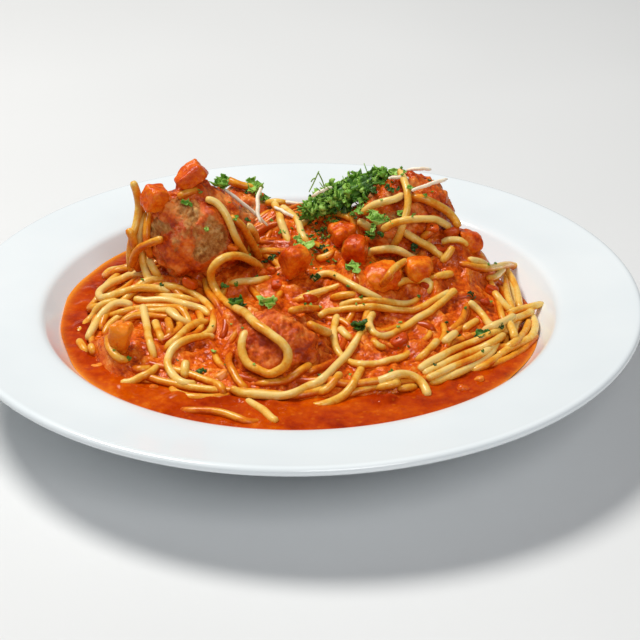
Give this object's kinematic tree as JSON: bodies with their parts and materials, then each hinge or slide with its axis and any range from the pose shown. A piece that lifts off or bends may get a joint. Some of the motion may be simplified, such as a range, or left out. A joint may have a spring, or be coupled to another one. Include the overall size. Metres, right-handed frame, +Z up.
{
  "type": "plate of spaghetti and meatballs",
  "caption": "Heap of spaghetti in tomato sauce on a round wide-rimmed pasta plate, with meatballs, diced tomato, chopped parsley and grated cheese shreds.",
  "frame": {"origin": "middle of the plate's foot, on the surface that it stands on", "axes": "+Z up; -Y towards the near side of the plate as it was pictured; +X to the right"},
  "size_m": [0.2696, 0.2696, 0.0837],
  "materials": {
    "glazed_porcelain": "glossy white glaze",
    "tomato_sauce": null,
    "cooked_pasta": null,
    "minced_meat": null,
    "diced_tomato": null,
    "parsley": null,
    "hard_cheese": null
  },
  "bodies": {
    "root": {"plate": "glazed_porcelain", "sauce_pool": "tomato_sauce", "spaghetti": "cooked_pasta", "meatball_left": "minced_meat", "meatball_back": "minced_meat", "meatball_right": "minced_meat", "meatball_front": "minced_meat", "tomato_top": "diced_tomato", "tomato_shoulder": "diced_tomato", "tomato_middle": "diced_tomato", "tomato_pair_back": "diced_tomato", "tomato_pair_front": "diced_tomato", "tomato_right": "diced_tomato", "tomato_round": "diced_tomato", "tomato_slope": "diced_tomato", "tomato_left_low": "diced_tomato", "parsley_pile": "parsley", "parsley_leaf_middle": "parsley", "parsley_leaf_left": "parsley", "parsley_leaf_front": "parsley", "parsley_leaf_slope": "parsley", "parsley_leaf_right": "parsley", "parsley_leaf_ball": "parsley", "parsley_leaf_saddle": "parsley", "parsley_leaf_heap": "parsley", "parsley_leaf_fold": "parsley", "cheese_shred_long": "hard_cheese", "cheese_shred_cross": "hard_cheese", "cheese_shred_saddle": "hard_cheese", "cheese_shred_saddle_low": "hard_cheese", "cheese_shred_bank": "hard_cheese", "cheese_shred_peak": "hard_cheese", "cheese_shred_top": "hard_cheese", "cheese_shred_right": "hard_cheese"}
  },
  "joints": []
}
